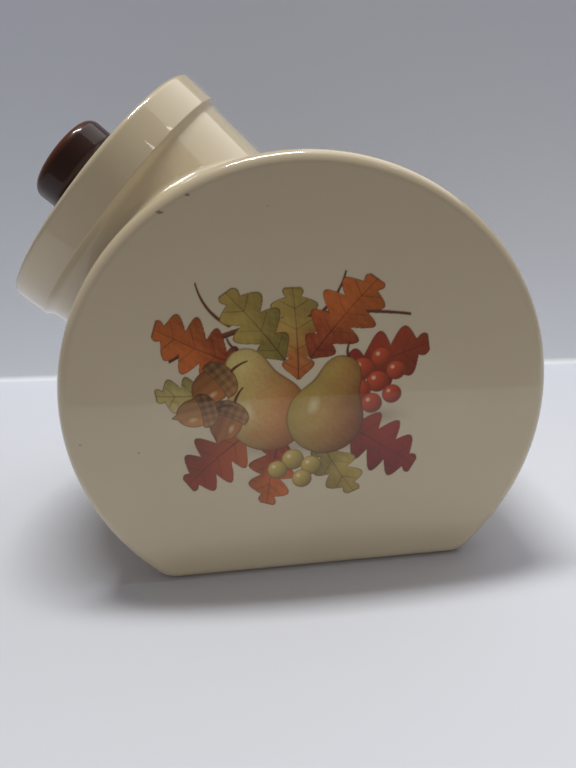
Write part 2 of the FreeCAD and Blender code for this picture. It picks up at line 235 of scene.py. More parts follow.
def make_mesh(name, points, groups, material):
    """Mesh of points and groups of faces; points that no face uses are left out."""
    used = np.zeros(len(points), bool)
    for faces in groups:
        used[faces.ravel()] = True
    number = np.cumsum(used) - 1
    mesh = bpy.data.meshes.new(name)
    corners = np.concatenate([number[faces].ravel() for faces in groups])
    counts = np.concatenate([np.full(len(faces), faces.shape[1]) for faces in groups])
    mesh.vertices.add(int(used.sum()))
    mesh.vertices.foreach_set("co", points[used].astype(np.float32).ravel())
    mesh.loops.add(len(corners))
    mesh.loops.foreach_set("vertex_index", corners.astype(np.int32))
    mesh.polygons.add(len(counts))
    mesh.polygons.foreach_set("loop_start", (np.cumsum(counts) - counts).astype(np.int32))
    mesh.update(calc_edges=True)
    mesh.polygons.foreach_set("use_smooth", np.ones(len(counts), bool))
    if mesh.validate():
        raise RuntimeError("mesh of %s was not valid" % name)
    mesh.update()
    mesh.materials.append(material)
    return mesh, used


def add_object(name, data):
    made = bpy.data.objects.new(name, data)
    bpy.context.scene.collection.objects.link(made)
    return made


def add_piece(name, points, groups, material, body, slot, *nodes):
    """Object of a new mesh that rides on a body and stands for the named nodes."""
    mesh, used = make_mesh(name, points, groups, material)
    piece = add_object(name, mesh)
    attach(piece, body)
    if nodes:
        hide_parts(*nodes)
    return piece, used


def eased_profile(corners, closed=False, steps=9):
    """Polyline through corners (radius, station, rounding) with each corner replaced by the arc that
    touches both sides: tangent length = rounding * tan(turn / 2). Guard points hold the flats flat."""
    rows = []
    count = len(corners)
    for k, (x, y, radius) in enumerate(corners):
        here = np.array([x, y])
        if not closed and k in (0, count - 1) or radius == 0:
            rows.append(here)
            continue
        before = np.array(corners[k - 1][:2]) - here
        after = np.array(corners[(k + 1) % count][:2]) - here
        before, after = before / np.linalg.norm(before), after / np.linalg.norm(after)
        half = 0.5 * math.acos(float(np.clip(before @ after, -1, 1)))
        reach = radius / math.tan(half)
        middle = here + (before + after) / np.linalg.norm(before + after) * radius / math.sin(half)
        start, end = here + before * reach - middle, here + after * reach - middle
        sweep = math.pi - 2 * half
        t = np.linspace(0, 1, steps)[:, None]
        arc = middle + (np.sin((1 - t) * sweep) * start + np.sin(t * sweep) * end) / math.sin(sweep)
        rows += [here + before * (reach + GUARD), *arc, here + after * (reach + GUARD)]
    return np.array(rows)


def spokes(axis, across, angle):
    """Directions round an axis: across cos a + side sin a."""
    return across * np.cos(angle)[:, None] + np.cross(axis, across) * np.sin(angle)[:, None]


def spin(profile, base, axis, across, angle):
    """Rows of points round an axis: base + axis * station + radius * spoke."""
    round_ = spokes(axis, across, angle)
    return base + axis * profile[:, 1, None, None] + round_ * profile[:, 0, None, None]


def revolve(profile, base, axis, across, count, closed):
    """Surface of revolution; closed joins the profile's last row to its first."""
    points = spin(profile, base, axis, across, np.arange(count) * FULL_TURN / count)
    rows = len(profile)
    quads = grid(rows + 1, count) % (rows * count) if closed else grid(rows, count)
    return points.reshape(-1, 3), quads


def closed_volume(points, groups):
    """Volume inside a closed mesh: the sum of the cones from the origin to its faces."""
    total = 0.0
    for faces in groups:
        for k in range(1, faces.shape[1] - 1):
            a, b, c = points[faces[:, 0]], points[faces[:, k]], points[faces[:, k + 1]]
            total += float(np.einsum("ij,ij->", a, np.cross(b, c))) / 6
    return total


def neck_frame(jar):
    """Point, axis and cross direction of the neck: stations run along the axis from the drum's axis."""
    sin, cos = math.sin(jar.neck_tilt), math.cos(jar.neck_tilt)
    axis, across = np.array([-cos, 0, sin]), np.array([sin, 0, cos])
    return np.array([0, 0, jar.axis_height]) + across * jar.neck_offset, axis, across


def drum_outline(radius, height, floor, corner, arc):
    """The drum's outline as middles, radii and directions, so that the outline drawn in by d is
    middle + (radius - d) * direction: an arc about the drum's axis through the given angles, an arc of
    the foot's corner on each side, and the flat foot."""
    foot_x = math.sqrt((radius - corner) ** 2 - (height - floor - corner) ** 2)
    left = np.linspace(arc[-1], 1.5 * math.pi, CORNER_COLUMNS)[1:]
    flat = np.linspace(-foot_x, foot_x, FOOT_COLUMNS)[1:-1]
    right = np.linspace(-0.5 * math.pi, arc[0], CORNER_COLUMNS)[:-1]
    angle = np.concatenate([arc, left, np.full(len(flat), -0.5 * math.pi), right])
    middle = np.zeros((len(angle), 2))
    middle[:len(arc), 1] = height
    middle[len(arc):, 1] = floor + corner
    middle[len(arc):, 0] = np.concatenate([np.full(len(left), -foot_x), flat, np.full(len(right), foot_x)])
    size = np.full(len(angle), corner)
    size[:len(arc)] = radius
    return middle, size, np.stack([np.cos(angle), np.sin(angle)], -1)


def drum_surface(jar, inset, floor, corner, bead):
    """Closed drum: rows run from the middle of the front face out over the bead, where the inset is
    bead (1 - sin a) and the depth bead (1 - cos a), along the band and in over the back face. Its
    angles run over the top from one corner of the foot to the other, closer over the neck's hole."""
    half = jar.half_depth - inset
    start = -math.asin((jar.axis_height - floor - corner) / (jar.drum_radius - inset - corner))
    arc = np.concatenate([np.linspace(start, HOLE[0], BEFORE + 1)[:-1], np.linspace(*HOLE, ALONG + 1)[:-1],
                          np.linspace(HOLE[1], math.pi - start, AFTER + 1)])
    middle, size, direction = drum_outline(jar.drum_radius - inset, jar.axis_height, floor, corner, arc)
    a = np.linspace(0, 0.5 * math.pi, BEAD_ROWS)
    drawn_in, depth = bead * (1 - np.sin(a)), bead * (1 - np.cos(a)) - half
    guard = np.array([bead - half + BAND_GUARD])
    band = np.concatenate([guard, np.linspace(bead - half, half - bead, BAND_ROWS)[1:-1], -guard])
    face = np.ones(len(FACE_ROWS))
    drawn_in = np.concatenate([face * bead, drawn_in, np.zeros(len(band)), drawn_in[::-1], face * bead])
    y = np.concatenate([-half * face, depth, band, -depth[::-1], half * face])
    scale = np.ones(len(y))
    scale[:len(face)], scale[-len(face):] = FACE_ROWS, FACE_ROWS[::-1]
    flat = middle + (size - drawn_in[:, None])[..., None] * direction
    pole = np.array([0.0, jar.axis_height])
    flat = pole + (flat - pole) * scale[:, None, None]
    points = np.empty(flat.shape[:2] + (3,))
    points[..., 0], points[..., 2], points[..., 1] = flat[..., 0], flat[..., 1], y[:, None]
    return points, len(face) + len(a), len(band)


def rolling_edge(jar, drum_radius, neck_radius, ball, angle, steps):
    """Surface of a ball of this radius that rolls where the neck meets the drum: its middle is
    neck_radius + ball from the neck's axis and drum_radius + ball from the drum's axis. Rows run
    from the touch on the drum to the touch on the neck."""
    base, axis, across = neck_frame(jar)
    outwards = spokes(axis, across, angle)
    reach = neck_radius + ball
    for _ in range(3):  # the neck's taper moves the touch, which settles in three rounds
        station = np.sqrt((drum_radius + ball) ** 2 - (jar.neck_offset + reach * np.cos(angle)) ** 2)
        if neck_radius > jar.bore_radius:
            reach = jar.neck_radius + jar.neck_draft * (station - jar.step_at) + ball
    middle = base + axis * station[:, None] + outwards * np.reshape(reach, (-1, 1))
    from_drum = middle - np.array([0, 0, jar.axis_height])
    from_drum[:, 1] = 0
    from_drum /= np.linalg.norm(from_drum, axis=1)[:, None]
    sweep = np.arccos(np.clip(np.einsum("ij,ij->i", from_drum, outwards), -1, 1))[:, None]
    t = np.linspace(0, 1, steps)[:, None, None]
    blend = (np.sin((1 - t) * sweep) * from_drum + np.sin(t * sweep) * outwards) / np.sin(sweep)
    return middle - ball * blend


def rectangle_ring(columns, first_row, rows, first_column, width):
    """Point numbers round a block of a grid, in the order front, right, back, left."""
    row = np.arange(first_row, first_row + rows + 1)
    column = np.arange(first_column, first_column + width + 1)
    ring = [row[0] * columns + column[:-1], row[:-1] * columns + column[-1],
            row[-1] * columns + column[:0:-1], row[:0:-1] * columns + column[0]]
    return np.concatenate(ring)


def sleeve(jar, radius, outer, inner, steps):
    """Points on a band between two closed curves on it: angle about the drum's axis and depth
    run evenly from the outer curve to the inner one."""
    height = jar.axis_height
    turn_out = np.arctan2(outer[:, 2] - height, outer[:, 0]) % FULL_TURN
    turn_in = np.arctan2(inner[:, 2] - height, inner[:, 0]) % FULL_TURN
    t = np.linspace(0, 1, steps)[1:-1, None]
    turn = turn_out + (turn_in - turn_out) * t
    y = outer[:, 1] + (inner[:, 1] - outer[:, 1]) * t
    return np.stack([radius * np.cos(turn), y, height + radius * np.sin(turn)], -1)


def hollow_foot(jar, outer):
    """Draws the foot up inside its dry rim: recess * smooth step(distance inside the rim / slope)."""
    flat_x = math.sqrt((jar.drum_radius - jar.foot_corner) ** 2 - (jar.axis_height - jar.foot_corner) ** 2)
    inside_x = flat_x - jar.foot_rim - np.abs(outer[..., 0])
    inside_y = jar.half_depth - jar.bead - jar.foot_rim - np.abs(outer[..., 1])
    corner = np.hypot(np.minimum(inside_x - jar.foot_rim, 0), np.minimum(inside_y - jar.foot_rim, 0))
    inside = np.where(corner > 0, jar.foot_rim - corner, np.minimum(inside_x, inside_y))
    hollow = jar.foot_recess * ease(inside / jar.foot_slope)
    outer[..., 2] = np.where(outer[..., 2] < TINY, hollow, outer[..., 2])


def jar_surface(jar):
    """Points and faces of the jar: the outer drum, the inner drum, and the neck between a hole in each."""
    outer, first, band = drum_surface(jar, 0, 0, jar.foot_corner, jar.bead)
    inner = drum_surface(jar, jar.wall, jar.floor, jar.foot_corner - jar.wall, jar.inner_bead)[0]
    hollow_foot(jar, outer)
    rows, columns = outer.shape[:2]
    ring = rectangle_ring(columns, first, band - 1, BEFORE, ALONG)
    count = len(ring)
    block = np.zeros((rows - 1, columns), bool)
    block[first:first + band - 1, BEFORE:BEFORE + ALONG] = True
    shell = grid(rows, columns)[~block.ravel()]

    # Neck: sleeve and crease outside, collar, then throat and sleeve inside
    outer, inner = outer.reshape(-1, 3), inner.reshape(-1, 3)
    base, axis, across = neck_frame(jar)
    away = outer[ring] - base
    angle = np.unwrap(np.arctan2(away @ np.cross(axis, across), away @ across))
    inside = jar.drum_radius - jar.wall
    crease = rolling_edge(jar, jar.drum_radius, jar.neck_radius, jar.crease, angle, CREASE_ROWS)
    throat = rolling_edge(jar, inside, jar.bore_radius, jar.throat, angle, THROAT_ROWS)
    profile = eased_profile([
        (jar.neck_radius - jar.lead_taper, jar.step_at - jar.step_lead, 0),
        (jar.neck_radius, jar.step_at, jar.step_hollow),
        (jar.collar_radius, jar.step_at + jar.step_length, jar.step_arris),
        (jar.collar_radius, jar.rim_at, jar.rim_round), (jar.recess_radius, jar.rim_at, jar.lip_round),
        (jar.recess_radius, jar.seat_at, jar.seat_round), (jar.bore_radius, jar.seat_at, jar.ledge_round),
        (jar.bore_radius, jar.seat_at - jar.bore_lead, 0)])
    collar = spin(profile, base, axis, across, angle)
    outer_sleeve = sleeve(jar, jar.drum_radius, outer[ring], crease[0], SLEEVE_ROWS)
    inner_sleeve = sleeve(jar, inside, inner[ring], throat[0], SLEEVE_ROWS)
    tube = np.concatenate([outer_sleeve, crease, collar, throat[::-1], inner_sleeve[::-1]])

    # One list of points: drums, neck, then the middles of the four flat faces
    half, high, wall = jar.half_depth, jar.axis_height, jar.wall
    poles = np.array([[0, y, high] for y in (-half, half, wall - half, half - wall)])
    inner_from, tube_from = len(outer), len(outer) + len(inner)
    pole_from = tube_from + len(tube) * count
    points = np.concatenate([outer, inner, tube.reshape(-1, 3), poles])
    numbers = np.concatenate([ring[None], np.arange(tube_from, pole_from).reshape(len(tube), count),
                              inner_from + ring[None]])
    tube_quads = numbers.ravel()[grid(len(numbers), count)]
    near, far = np.arange(columns), (rows - 1) * columns + np.arange(columns)
    ends = [(near, -1), (far, 1), (inner_from + near, 1), (inner_from + far, -1)]
    fans = [outward(points, fan(pole_from + k, end), towards(0, sign, 0))
            for k, (end, sign) in enumerate(ends)]

    def from_axis(middles):
        return middles - np.array([0, 0, high])

    on_collar = np.argmax(profile[:, 0] > jar.collar_radius - TINY) + len(outer_sleeve) + len(crease)
    collar_rows = tube_quads[on_collar * count:][:count]
    flipped = outward(points, collar_rows, lambda p: p - base - axis * ((p - base) @ axis)[:, None])
    if (flipped[0] != collar_rows[0]).any():
        tube_quads = tube_quads[:, ::-1]
    return points, [outward(points, shell, from_axis),
                    outward(points, shell + inner_from, lambda p: -from_axis(p)), tube_quads, *fans]


# ---- materials

class Wire:
    """A socket of a node tree, for sums written as expressions."""

    def __init__(self, shade, socket):
        self.shade = shade
        self.socket = socket

    def maths(self, operation, *values):
        return self.shade.node("ShaderNodeMath", {"operation": operation}, dict(enumerate(values)))

    def __add__(self, other):
        return self.maths("ADD", self, other)

    __radd__ = __add__

    def __mul__(self, other):
        return self.maths("MULTIPLY", self, other)

    __rmul__ = __mul__

    def __sub__(self, other):
        return self.maths("SUBTRACT", self, other)

    def __rsub__(self, other):
        return self.maths("SUBTRACT", other, self)

    def __lt__(self, other):
        return self.maths("LESS_THAN", self, other)

    def __gt__(self, other):
        return self.maths("GREATER_THAN", self, other)


class Shade:
    """A material's node tree. Node makes any node; the rest are short forms for common ones."""

    def __init__(self, name):
        self.material = bpy.data.materials.new(name)
        self.material.use_nodes = True
        self.tree = self.material.node_tree
        self.tree.nodes.clear()
        self.where = self.node("ShaderNodeTexCoord", out="Object")

    def node(self, kind, settings=(), inputs=(), out=0):
        """Adds a node, sets its settings, then its inputs, and gives the wire of one output."""
        made = self.tree.nodes.new(kind)
        for name, setting in dict(settings).items():
            setattr(made, name, setting)
        for name, given in dict(inputs).items():
            if isinstance(given, Wire):
                self.tree.links.new(given.socket, made.inputs[name])
            else:
                made.inputs[name].default_value = given
        return Wire(self, made.outputs[out]) if len(made.outputs) else made

    def noise(self, scale, detail):
        return self.node("ShaderNodeTexNoise", {}, {"Vector": self.where, "Scale": scale, "Detail": detail})

    def step(self, value, low, high):
        """0 below low, 1 above high, smooth between."""
        return self.node("ShaderNodeMapRange", {"interpolation_type": "SMOOTHSTEP"},
                         {0: value, 1: low, 2: high, 3: 0.0, 4: 1.0})

    def mix(self, factor, a, b):
        a, b = [t if isinstance(t, Wire) else (*t, 1.0) for t in (a, b)]
        return self.node("ShaderNodeMix", {"data_type": "RGBA"}, {0: factor, 6: a, 7: b}, 2)

    def vector(self, operation, a, b=None, out=0):
        given = {0: a} if b is None else {0: a, 1: b}
        return self.node("ShaderNodeVectorMath", {"operation": operation}, given, out)

    def dot(self, a, b):
        return self.vector("DOT_PRODUCT", a, b, "Value")

    def axes(self, vector=None):
        made = self.node("ShaderNodeSeparateXYZ", {}, {0: vector or self.where}).socket.node
        return [Wire(self, out) for out in made.outputs]

    def bump(self, height, distance, **under):
        return self.node("ShaderNodeBump", {}, {"Height": height, "Distance": distance, **under})

    def finish(self, **inputs):
        given = {name.replace("_", " "): value for name, value in inputs.items()}
        bsdf = self.node("ShaderNodeBsdfPrincipled", {}, given)
        self.node("ShaderNodeOutputMaterial", {}, {"Surface": bsdf})
        return self.material


# Chips and pits in the glaze: place on the jar and rough radius, in metres
CHIPS = [
    (-0.0472, -0.0850, 0.1942, 0.0011), (-0.0593, -0.0850, 0.1880, 0.0013),
    (0.0915, -0.0848, 0.1660, 0.0011), (-0.1109, -0.0850, 0.0832, 0.0006),
    (-0.0837, -0.0850, 0.0765, 0.0005),
]


def glaze(shade, finish):
    """Colour, roughness and bump of the cream glaze, with raw clay on the foot's rim."""
    slow, fine = shade.noise(9, 2), shade.noise(120, 3)
    warmth = shade.step(slow, 0.35, 0.7) * 0.55 + fine * 0.12
    tone = shade.mix(warmth, finish.cream, finish.cream_warm)
    cells = {"Vector": shade.where, "Scale": 75.0}
    near = shade.node("ShaderNodeTexVoronoi", {}, cells, "Distance")
    which = shade.axes(shade.node("ShaderNodeTexVoronoi", {}, cells, "Color"))[0]
    speck = (1 - shade.step(near, 0.02, 0.045)) * (which > 0.93)
    tone = shade.mix(speck * 0.55, tone, finish.speck)
    ragged = shade.noise(700, 3)
    worn = None
    for *place, size in CHIPS:
        off = shade.vector("SUBTRACT", shade.where, tuple(place))
        wide = shade.vector("LENGTH", shade.vector("MULTIPLY", off, (0.55, 1.0, 1.5)), out="Value")
        chip = 1 - shade.step(wide + (ragged - 0.5) * (size * 2.4), size * 0.2, size * 0.7)
        worn = chip if worn is None else worn.maths("MAXIMUM", worn, chip)
    tone = shade.mix(worn * 0.55, tone, finish.chip)
    foot = 1 - shade.step(shade.axes()[2] + (fine - 0.5) * 0.0006, 0.0006, 0.0011)
    tone = shade.mix(foot, tone, shade.mix(fine, finish.clay, finish.clay_dark))
    rough = 0.20 + slow * 0.10 + worn * 0.4 + foot * 0.55
    swell = shade.bump(shade.noise(22, 1), 0.0009)
    skin = shade.bump(shade.noise(420, 2), 0.000025, Normal=swell)
    pitted = shade.bump(1 - worn, 0.0003, Normal=skin)
    return tone, rough, pitted, 1 - foot * 0.95 - worn * 0.9


def cream_material(name, finish, printed=False):
    """Cream glaze; on the printed piece the ink in its attribute covers the glaze."""
    shade = Shade(name)
    tone, rough, bump, coat = glaze(shade, finish)
    if printed:
        ink, cover = [shade.node("ShaderNodeAttribute", {"attribute_name": "print"}, out=out)
                      for out in ("Color", "Alpha")]
        tone = shade.mix(cover, tone, ink)
    return shade.finish(Base_Color=tone, Roughness=rough, Normal=bump, Coat_Weight=coat,
                        Coat_Roughness=0.035, Coat_IOR=1.46, Specular_IOR_Level=0.15)


def brown_material(finish, jar, knob, landing):
    """Near-black brown glaze that turns amber where it has run thin on the button's upper edge."""
    shade = Shade("brown_glaze")
    base, axis, _ = neck_frame(jar)
    off = shade.vector("SUBTRACT", shade.where, tuple(base))
    station = shade.dot(off, tuple(axis))
    lever = shade.vector("LENGTH", shade.vector("CROSS_PRODUCT", off, tuple(axis)), out="Value")
    top = landing + knob.stem + knob.button
    thin = shade.step(station, top - knob.upper_round, top - 0.0012)
    thin = thin * shade.step(lever, knob.radius - knob.upper_round - 0.001, knob.radius - 0.002)
    patchy = shade.noise(60, 3)
    tone = shade.mix(thin * (0.35 + patchy * 0.8), finish.brown, finish.amber)
    bump = shade.bump(shade.noise(70, 2), 0.0004)
    return shade.finish(Base_Color=tone, Roughness=0.30 + patchy * 0.10, Normal=bump, Coat_Weight=0.55,
                        Coat_Roughness=0.03, Coat_IOR=1.45, Specular_IOR_Level=0.1)


def metal_material(name, tone, roughness, axis):
    """Turned metal: fine rings across the axis, and a duller tint in patches."""
    shade = Shade(name)
    along = shade.dot(shade.where, tuple(axis))
    lines = {"W": along * 9000.0, "Scale": 1.0}
    rings = shade.node("ShaderNodeTexNoise", {"noise_dimensions": "1D"}, lines)
    patch = shade.noise(300, 3)
    dull = tuple(c * 0.72 for c in tone)
    return shade.finish(Base_Color=shade.mix(patch, tone, dull), Metallic=1.0,
                        Roughness=roughness + patch * 0.15, Normal=shade.bump(rings, 0.00001))


def rubber_material(tone):
    shade = Shade("rubber")
    grain = shade.noise(1500, 3)
    pale = tuple(c * 1.9 for c in tone)
    return shade.finish(Base_Color=shade.mix(grain, tone, pale), Roughness=0.68 + grain * 0.15,
                        Normal=shade.bump(grain, 0.00003))


# ---- print

class Ink:
    """Colours and cover of the print on its grid; across and up are in millimetres from its centre."""

    def __init__(self, across, up):
        self.across, self.up = across, up
        self.rgb = np.zeros(across.shape + (3,))
        self.cover = np.zeros(across.shape)
        rng = np.random.default_rng(7)
        self.grain = np.zeros(across.shape)
        for scale, weight in ((9.0, 0.4), (3.6, 0.35), (1.5, 0.25)):
            turn = rng.uniform(0, FULL_TURN, 6)
            shift = rng.uniform(0, FULL_TURN, 6)
            waves = []
            for t, s in zip(turn, shift):
                along = across * math.cos(t) + up * math.sin(t)
                waves.append(np.sin(along * FULL_TURN / scale / rng.uniform(0.8, 1.3) + s))
            self.grain += weight * np.mean(waves, axis=0)

    def lay(self, cover, tone):
        """Lays a colour over what is there."""
        cover = np.clip(cover, 0, 1)
        total = cover + self.cover * (1 - cover)
        weight = np.where(total > 0, cover / np.maximum(total, 1e-9), 0)[..., None]
        self.rgb = self.rgb * (1 - weight) + tone * weight
        self.cover = total

    def local(self, x, y, turn):
        """Coordinates along and across a direction from a point."""
        c, s = math.cos(math.radians(turn)), math.sin(math.radians(turn))
        dx, dy = self.across - x, self.up - y
        return dx * c + dy * s, dy * c - dx * s


DARK = np.array([0.075, 0.022, 0.010])
RUST, ORANGE, RED = np.array([(0.30, 0.050, 0.018), (0.52, 0.135, 0.028), (0.27, 0.028, 0.016)])
OLIVE, GOLD, STRAW = np.array([(0.24, 0.19, 0.040), (0.42, 0.30, 0.075), (0.52, 0.42, 0.15)])
NUT, PALE_NUT, CAP = np.array([(0.34, 0.13, 0.040), (0.40, 0.19, 0.060), (0.30, 0.15, 0.055)])
BARK, PEAR_STALK, ACORN_STALK = np.array([(0.20, 0.065, 0.025), (0.16, 0.06, 0.025), (0.18, 0.07, 0.03)])
BERRY, SHADOW = np.array([(0.40, 0.060, 0.022), (0.30, 0.22, 0.13)])
BERRY_GLINT, PEAR_GLINT, ACORN_GLINT = np.array([(0.80, 0.74, 0.48), (0.80, 0.72, 0.42),
                                                 (0.78, 0.55, 0.28)])

# The spray, in millimetres from its centre and in degrees. Twigs: ends, sag and width; shadows: middle
# and width; leaves: stalk's end, direction, length, colours, lobes and bend; fruit: middle and size.
TWIGS = [((-58, 22), (56, 36), 9, 1.5), ((4, 34), (26, 58), -4, 1.0), ((-28, 36), (-42, 57), 3, 0.9)]
SHADOWS = [(-36, -25, 13), (-8, -27, 17), (20, -27, 16), (40, -14, 12)]
LEAVES = [
    (2, 8, 88, 44, ORANGE, GOLD, 4, 0.05), (-4, 18, 122, 42, OLIVE, GOLD, 3, 0.08),
    (20, 10, 8, 46, RED, RUST, 3, 0.12), (8, 18, 52, 48, RUST, ORANGE, 4, -0.08),
    (-22, 16, 158, 46, RUST, ORANGE, 4, -0.10), (-18, -14, 212, 48, ORANGE, RUST, 4, 0.10),
    (18, -14, -30, 49, RUST, RED, 4, -0.10), (-8, -20, 250, 39, RED, ORANGE, 3, 0.10),
    (10, -22, -68, 37, OLIVE, GOLD, 3, 0.10), (-34, 4, 184, 32, OLIVE, STRAW, 3, -0.10),
]
RED_BERRIES = [(33, 11, 5.6), (42, 16, 5.0), (40, 4, 5.4), (31, 0, 5.8), (49, 9, 4.8), (37, -7, 5.2),
               (47, -3, 4.8)]
GOLD_BERRIES = [(-3, -34, 5.6), (6, -38, 5.2), (-11, -39, 5.0), (1, -45, 5.0)]
PEARS = [(-14, -8, 110, 40, STRAW, ORANGE), (14, -13, 68, 38, GOLD, RUST)]
ACORNS = [(-39, 8, 215, 18, NUT), (-34, -11, 244, 17, NUT), (-48, -5, 190, 16, PALE_NUT)]


def beyond(x, y, turn, along, across=0.0):
    """Point that lies along and across a direction from x, y."""
    c, s = math.cos(math.radians(turn)), math.sin(math.radians(turn))
    return x + c * along - s * across, y + s * along + c * across


def soft(distance, width=0.28):
    """1 inside a form where the distance is negative, 0 outside, with a narrow soft edge."""
    return np.clip(0.5 - distance / width, 0, 1)


def leaf(ink, x, y, turn, size, tone, tip_tone, lobes, bend):
    """Lobed oak leaf: half width = a third of its length * sin(pi p)^0.62 * lobe * (0.72 + 0.36 p) along
    its midrib, where lobe = 0.42 + 0.58 sqrt(raised cosine of the lobes' count); with side veins."""
    along, across = ink.local(x, y, turn)
    across = across - bend * (along / size) ** 2 * size
    p = np.clip(along / size, 0, 1)
    body = np.sin(np.pi * np.clip(p * 0.95 + 0.02, 0, 1)) ** 0.62
    crest = 0.5 - 0.5 * np.cos(FULL_TURN * ((lobes + 0.5) * p - 0.9 * np.abs(across) / size))
    half = size * 0.34 * body * (0.42 + 0.58 * crest ** 0.5) * (0.72 + 0.36 * p)
    outside = np.maximum(np.abs(across) - half, np.maximum(-along, along - size))
    cover = soft(outside * 0.8)
    shade = 0.5 + 0.5 * np.clip(across / (size * 0.3), -1, 1) * 0.6 + 0.35 * ink.grain
    fade = ease(p * 1.2 + 0.3 * ink.grain)[..., None]
    tint = tone * (1 - fade) + tip_tone * fade
    ink.lay(cover, tint * (0.50 + 0.80 * shade[..., None]))
    ink.lay(cover * soft(-outside - 0.5, 0.7) * 0.8, DARK)
    rib = soft(np.abs(across) - 0.30 + 0.2 * p, 0.35)
    ink.lay(cover * rib * 0.95, DARK)
    side = np.abs((p * (lobes + 0.5) - np.abs(across) / size * 2.6) % 1.0 - 0.5)
    vein = soft(side * size / (lobes + 0.5) - 0.22, 0.35) * (np.abs(across) < half * 0.82)
    ink.lay(cover * vein * 0.7, DARK * 1.3)
    light = np.clip(1 - np.hypot(across - size * 0.1, along - size * 0.55) / (size * 0.22), 0, 1)
    ink.lay(cover * light * 0.25, tip_tone * 1.8)


def twig(ink, start, end, sag, width, tone):
    """Tapered stroke along a parabola between two points."""
    (x0, y0), (x1, y1) = start, end
    size = math.hypot(x1 - x0, y1 - y0)
    along, across = ink.local(x0, y0, math.degrees(math.atan2(y1 - y0, x1 - x0)))
    p = along / size
    off = across - 4 * sag * p * (1 - p)
    half = width * (1 - 0.55 * np.clip(p, 0, 1)) * (1 + 0.18 * ink.grain)
    outside = np.maximum(np.abs(off) - half, np.maximum(-along, along - size))
    cover = soft(outside)
    side = np.clip(off / width, -1, 1)[..., None]
    ink.lay(cover, tone * (0.75 + 0.45 * side))
    ink.lay(cover * soft(-outside - 0.35, 0.5) * 0.5, DARK)


def berry(ink, x, y, radius, tone, gloss):
    """Shaded round fruit: bright towards the upper left, deep at the lower right, with a glint."""
    dx, dy = (ink.across - x) / radius, (ink.up - y) / radius
    outside = np.hypot(ink.across - x, ink.up - y) - radius
    share = outside / radius + 1
    cover = soft(outside, 0.35)
    lift = np.sqrt(np.clip(1 - share ** 2, 0, 1))
    lit = np.clip(0.42 * lift - 0.38 * dx + 0.46 * dy + 0.35, 0.12, 1.25) + 0.12 * ink.grain
    rim = np.clip((share - 0.8) * 3, 0, 1) * np.clip(dx * 0.8 - dy * 0.5, 0, 1)
    ink.lay(cover, tone * (0.45 + 0.95 * lit[..., None]) + 0.10 * rim[..., None])
    ink.lay(cover * soft(-outside - 0.45, 0.5) * 0.55, DARK * 1.3)
    glint = soft(np.hypot(dx + 0.34, dy - 0.36) - 0.17, 0.16)
    ink.lay(cover * glint * gloss, BERRY_GLINT)


def pear(ink, x, y, turn, size, tone, blush):
    """Pear: a wide belly and a narrow neck joined by a smooth minimum of two distances."""
    along, across = ink.local(x, y, turn)
    belly = np.hypot(along, across) - size * 0.50
    neck = np.hypot(along - size * 0.62, across) - size * 0.25
    k = size * 0.30
    blend = np.clip(0.5 + 0.5 * (neck - belly) / k, 0, 1)
    outside = neck * (1 - blend) + belly * blend - k * blend * (1 - blend)
    cover = soft(outside, 0.35)
    middle_x, middle_y = beyond(x, y, turn, 0.25 * size)
    dx, dy = (ink.across - middle_x) / size, (ink.up - middle_y) / size
    inner = np.clip(-outside / (size * 0.42), 0, 1)
    lit = np.clip(0.30 + 0.75 * np.sqrt(inner) - 0.42 * dx + 0.40 * dy, 0.15, 1.3)
    warm = ease(dx * 0.9 - dy * 0.35 + 0.45 + 0.25 * ink.grain)[..., None]
    tint = tone * (1 - 0.75 * warm) + blush * 0.75 * warm
    ink.lay(cover, tint * (0.42 + 0.85 * lit[..., None]))
    freckle = np.sin(ink.across * 5.1 + 2.3 * np.sin(ink.up * 3.7))
    freckle = freckle * np.sin(ink.up * 5.6 + 2.1 * np.sin(ink.across * 4.3)) > 0.86
    ink.lay(cover * freckle * 0.4, DARK * 3)
    ink.lay(cover * soft(-outside - 0.5, 0.55) * 0.6, DARK * 1.3)
    glint = soft(np.hypot(along - size * 0.12, (across - size * 0.20) * 1.6) - size * 0.09, size * 0.12)
    ink.lay(cover * glint * 0.6, PEAR_GLINT)
    tip = size * 0.86
    twig(ink, beyond(x, y, turn, tip), beyond(x, y, turn, tip * 1.22, 2), 0.8, 0.8, PEAR_STALK)


